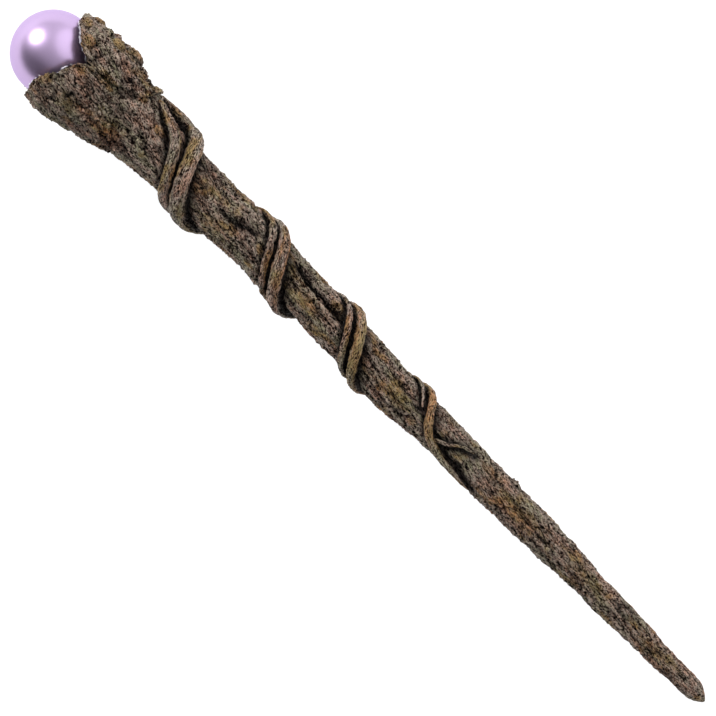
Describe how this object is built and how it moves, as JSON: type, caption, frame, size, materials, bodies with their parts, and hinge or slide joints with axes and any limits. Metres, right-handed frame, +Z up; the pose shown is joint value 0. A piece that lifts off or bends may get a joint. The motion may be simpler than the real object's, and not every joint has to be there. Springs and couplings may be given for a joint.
{
  "type": "magic wand",
  "caption": "Rustic twig-style magic wand: a tapering bark-textured branch wound with twin vine strands, with a pearl ball set in a flared cup of bark at its head.",
  "frame": {"origin": "centre of the underside of the wand's box, on the table that the wand lies on", "axes": "+X along the wand towards the pearl ball, +Z up from the table, +Y to the left of someone who looks from the tip towards the ball"},
  "size_m": [0.3284, 0.0388, 0.0388],
  "materials": {
    "core_steel": "drawn steel rod, hidden inside",
    "bark": "cast and modelled resin, near-black stain in the furrows, dry-brushed grey-brown and ochre",
    "vine": "modelled resin strand with lengthwise grooves, dry-brushed tan and ochre",
    "pearl": "lilac pearl lacquer, smooth and metallic",
    "glue": "clear cured epoxy"
  },
  "bodies": {
    "root": {"core_rod": "core_steel", "branch_shaft": "bark", "bark_slab_lower": "bark", "bark_slab_upper": "bark", "bark_slab_rear": "bark", "rim_burls": "bark", "vine_thick": "vine", "vine_thin": "vine", "vine_tendril": "vine", "pearl_ball": "pearl", "ball_glue": "glue"}
  },
  "joints": []
}
